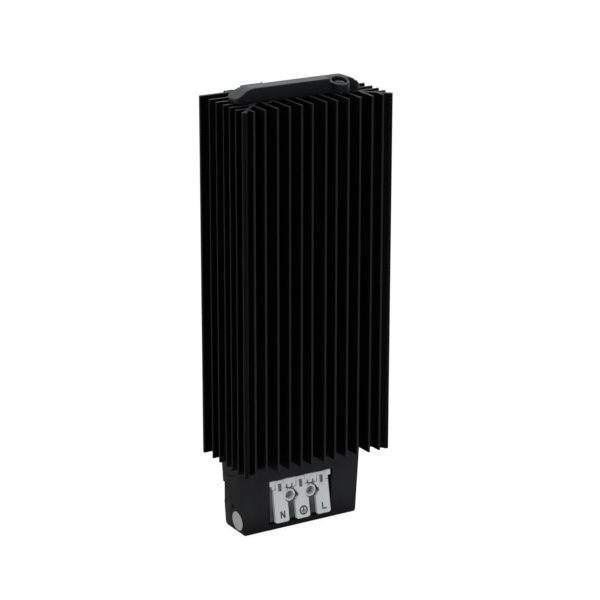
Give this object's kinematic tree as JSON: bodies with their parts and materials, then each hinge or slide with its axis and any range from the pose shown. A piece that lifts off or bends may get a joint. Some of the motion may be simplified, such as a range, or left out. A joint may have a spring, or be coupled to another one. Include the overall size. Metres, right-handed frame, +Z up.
{
  "type": "enclosure heater",
  "caption": "Finned aluminium enclosure heater with a moulded top cap, a terminal housing with push levers, and a sprung clip for a 35 mm rail.",
  "frame": {"origin": "middle of the clip's face that seats on a 35 mm rail, at half of the profile's length", "axes": "+Z up along the fins towards the top cap, -Y out of the finned front, +X to the right seen from the front"},
  "size_m": [0.07, 0.05, 0.1924],
  "materials": {
    "black_anodised": "black anodised, fine extrusion lines",
    "cap_plastic": "fine moulded grain",
    "dark_plastic": "fine moulded grain",
    "clip_plastic": "fine moulded grain",
    "block_plastic": "satin moulding",
    "lever_plastic": "satin moulding",
    "zinc": "bright zinc plating",
    "brass": "plain stamped strip",
    "spring_steel": "bright spring steel",
    "film": "thin glossy film",
    "plate_aluminium": "rolled sheet",
    "ceramic": "fired ceramic",
    "live_jacket": "smooth wire jacket",
    "neutral_jacket": "smooth wire jacket",
    "earth_jacket": "smooth wire jacket",
    "label": "bare satin label"
  },
  "bodies": {
    "heater_body": {"heatsink_profile": "black_anodised", "top_cap": "cap_plastic", "cap_screw_front": "zinc", "cap_screw_rear": "zinc", "terminal_housing": "dark_plastic", "housing_rear_cover": "dark_plastic", "housing_screw_left": "zinc", "housing_screw_right": "zinc", "terminal_block": "block_plastic", "contact_bar_n": "brass", "contact_bar_earth": "brass", "contact_bar_l": "brass", "clamp_spring_n": "spring_steel", "clamp_spring_earth": "spring_steel", "clamp_spring_l": "spring_steel", "insulating_film": "film", "electrode_front": "plate_aluminium", "electrode_rear": "plate_aluminium", "heating_element_1": "ceramic", "heating_element_2": "ceramic", "heating_element_3": "ceramic", "heating_element_4": "ceramic", "clamp_plate": "plate_aluminium", "live_wire": "live_jacket", "neutral_wire": "neutral_jacket", "earth_wire": "earth_jacket", "earth_lug": "brass", "earth_screw": "zinc", "rail_clip_base": "clip_plastic", "latch_spring": "spring_steel", "clip_screw_left": "zinc", "clip_screw_right": "zinc", "inspection_sticker": "label"},
    "lever_n": {"push_lever_n": "lever_plastic"},
    "lever_earth": {"push_lever_earth": "lever_plastic"},
    "lever_l": {"push_lever_l": "lever_plastic"},
    "rail_latch": {"rail_clip_latch": "clip_plastic"}
  },
  "joints": [
    {"name": "lever_n_press", "type": "hinge", "parent": "heater_body", "child": "lever_n", "pos_m": [-0.0102, -0.0295, -0.0902], "axis": [1, 0, 0], "range_deg": [0, 9], "stiffness_Nm_per_rad": 0.3},
    {"name": "lever_earth_press", "type": "hinge", "parent": "heater_body", "child": "lever_earth", "pos_m": [0, -0.0295, -0.0902], "axis": [1, 0, 0], "range_deg": [0, 9], "stiffness_Nm_per_rad": 0.3},
    {"name": "lever_l_press", "type": "hinge", "parent": "heater_body", "child": "lever_l", "pos_m": [0.0102, -0.0295, -0.0902], "axis": [1, 0, 0], "range_deg": [0, 9], "stiffness_Nm_per_rad": 0.3},
    {"name": "latch_release", "type": "slide", "parent": "heater_body", "child": "rail_latch", "axis": [0, 0, -1], "range_m": [0, 0.0035], "stiffness_N_per_m": 1200, "deforming": ["latch_spring"]}
  ]
}
